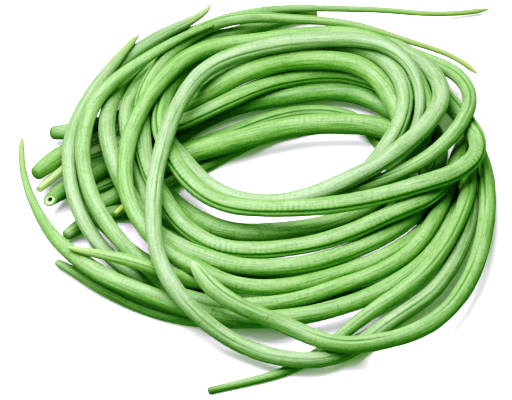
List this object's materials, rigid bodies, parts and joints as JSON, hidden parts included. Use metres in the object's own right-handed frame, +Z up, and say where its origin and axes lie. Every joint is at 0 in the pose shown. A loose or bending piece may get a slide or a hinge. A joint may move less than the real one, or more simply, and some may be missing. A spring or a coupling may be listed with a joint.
{
  "type": "yardlong bean bunch",
  "caption": "Fresh yardlong beans coiled by hand into one loose flat ring, with cut stem ends and thin tips sticking out.",
  "frame": {"origin": "on the table under the middle of the bunch's footprint", "axes": "+Z up; +Y runs from the front of the bunch, where it is seen from, to its back; +X to the viewer's right"},
  "size_m": [0.2336, 0.2536, 0.0374],
  "materials": {
    "pod_green": "satin green skin",
    "pod_pale": "satin pale green skin",
    "pod_yellow_green": "satin yellowish green skin",
    "pod_deep_green": "satin deep green skin"
  },
  "bodies": {
    "root": {"pod_front_sweep": "pod_pale", "pod_front_top": "pod_green", "pod_full_turn": "pod_green", "pod_left_tip_inner": "pod_green", "pod_left_tip_outer": "pod_pale", "pod_back_tip_curled": "pod_deep_green", "pod_back_tip_long": "pod_green", "pod_back_blunt": "pod_green", "pod_back_tip_right": "pod_green", "pod_inner_front": "pod_green", "pod_inner_rim": "pod_pale", "pod_right_middle": "pod_green", "pod_far_1": "pod_pale", "pod_far_2": "pod_green", "pod_far_3": "pod_green", "pod_far_4": "pod_deep_green", "pod_far_5": "pod_deep_green", "pod_far_6": "pod_green", "pod_far_low": "pod_yellow_green", "pod_left_thread": "pod_green", "pod_floor_tip": "pod_green", "pod_left_yellow": "pod_yellow_green", "pod_left_low": "pod_deep_green", "pod_front_end": "pod_green"}
  },
  "joints": []
}
